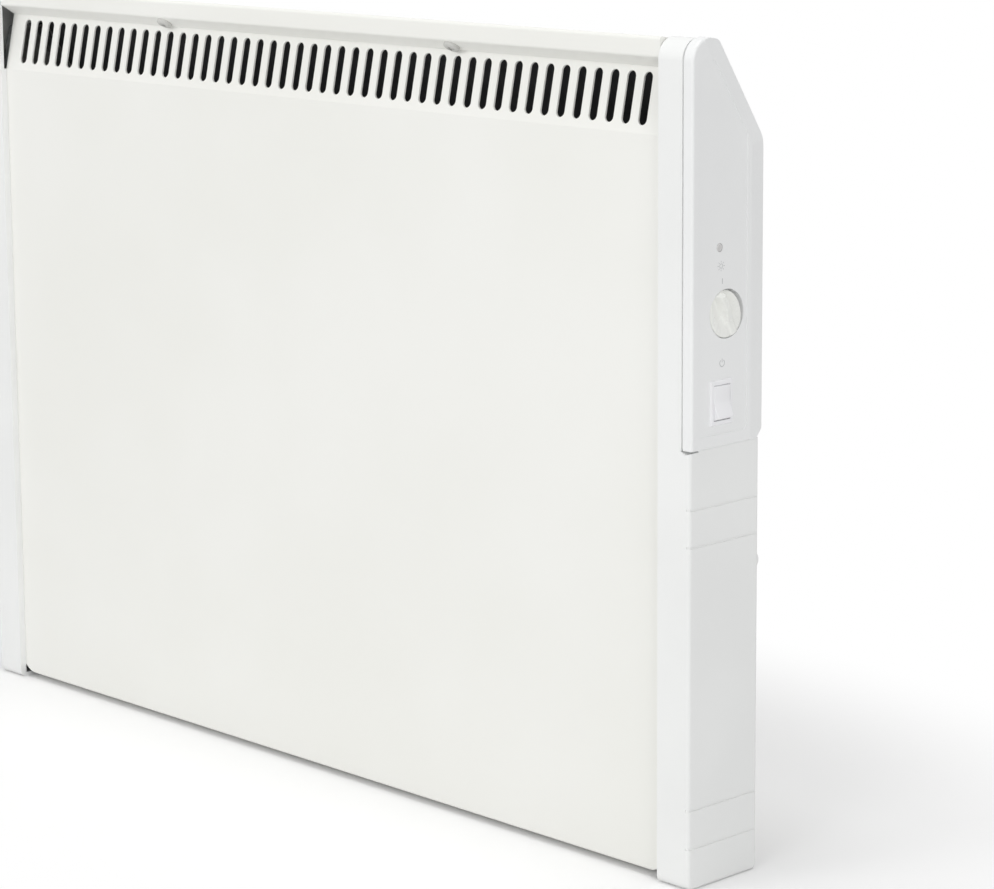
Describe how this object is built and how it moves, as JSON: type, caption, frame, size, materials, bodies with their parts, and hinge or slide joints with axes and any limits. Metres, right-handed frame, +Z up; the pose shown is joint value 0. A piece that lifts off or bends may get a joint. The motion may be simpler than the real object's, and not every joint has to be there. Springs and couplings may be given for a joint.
{
  "type": "wall panel convector heater",
  "caption": "Slim white electric panel heater on its wall bracket, with a slotted outlet grille along the top and a knob and a rocker switch on the right-hand end.",
  "frame": {"origin": "centre of the four wall screw holes, on the wall plane", "axes": "+X to the right as seen from the room, +Y into the wall, +Z up"},
  "size_m": [0.5502, 0.0726, 0.3985],
  "materials": {
    "panel_enamel": "white enamel, semi-matt",
    "casing_enamel": "white enamel, semi-matt",
    "cap_plastic": "white moulding, fine satin",
    "housing_plastic": "white moulding, satin",
    "knob_plastic": "white moulding, glossy",
    "switch_plastic": "white moulding, glossy",
    "galvanised": "zinc coated",
    "bracket_zinc": "zinc coated",
    "screw_zinc": "zinc coated",
    "screw_dark": "blackened",
    "fin_aluminium": "bare extrusion",
    "shield_aluminium": "bright sheet",
    "rod_steel": "heat-tinted",
    "ceramic": "glazed ceramic",
    "tray_plastic": "plain moulding",
    "circuit_board": "lacquered",
    "black_plastic": "plain moulding",
    "block_plastic": "plain moulding",
    "spindle_plastic": "plain moulding",
    "lens": "smoked, clear",
    "black_rubber": "matt",
    "lead_cover": "silicone, matt"
  },
  "bodies": {
    "wall_bracket": {"bracket_rail_left": "bracket_zinc", "bracket_rail_right": "bracket_zinc", "bracket_bar_lower": "bracket_zinc", "bracket_bar_upper": "bracket_zinc", "bracket_rivets": "screw_zinc"},
    "heater": {"front_panel": "panel_enamel", "top_rail": "panel_enamel", "rear_casing": "casing_enamel", "left_end_cap": "cap_plastic", "right_end_cap": "cap_plastic", "control_housing": "housing_plastic", "switch_body": "switch_plastic", "left_end_plate": "galvanised", "right_end_plate": "galvanised", "element_hanger_left": "galvanised", "element_hanger_right": "galvanised", "cutout_bracket": "galvanised", "casing_screws": "screw_zinc", "cap_screws": "screw_zinc", "board_screws": "screw_zinc", "element_terminals": "screw_zinc", "band_screws": "screw_dark", "element_body": "fin_aluminium", "heat_shield": "shield_aluminium", "element_rod": "rod_steel", "hanger_bushes": "ceramic", "element_end_seals": "ceramic", "module_tray": "tray_plastic", "control_board": "circuit_board", "board_components": "black_plastic", "potentiometer": "black_plastic", "thermal_cutout": "black_plastic", "cable_gland": "black_plastic", "terminal_block": "block_plastic", "indicator_lens": "lens", "wire_grommet": "black_rubber", "element_leads": "lead_cover"},
    "knob": {"thermostat_knob": "knob_plastic", "knob_spindle": "spindle_plastic"},
    "rocker": {"switch_rocker": "switch_plastic"}
  },
  "joints": [
    {"name": "lift_off", "type": "slide", "parent": "wall_bracket", "child": "heater", "axis": [0, 0, 1], "range_m": [0, 0.012]},
    {"name": "knob_turn", "type": "hinge", "parent": "heater", "child": "knob", "pos_m": [0.2725, -0.049, 0.0716], "axis": [1, 0, 0], "range_deg": [-163, 107]},
    {"name": "rocker_tip", "type": "hinge", "parent": "heater", "child": "rocker", "pos_m": [0.27255, -0.0528, 0.0309], "axis": [0, 1, 0], "range_deg": [0, 18]}
  ]
}
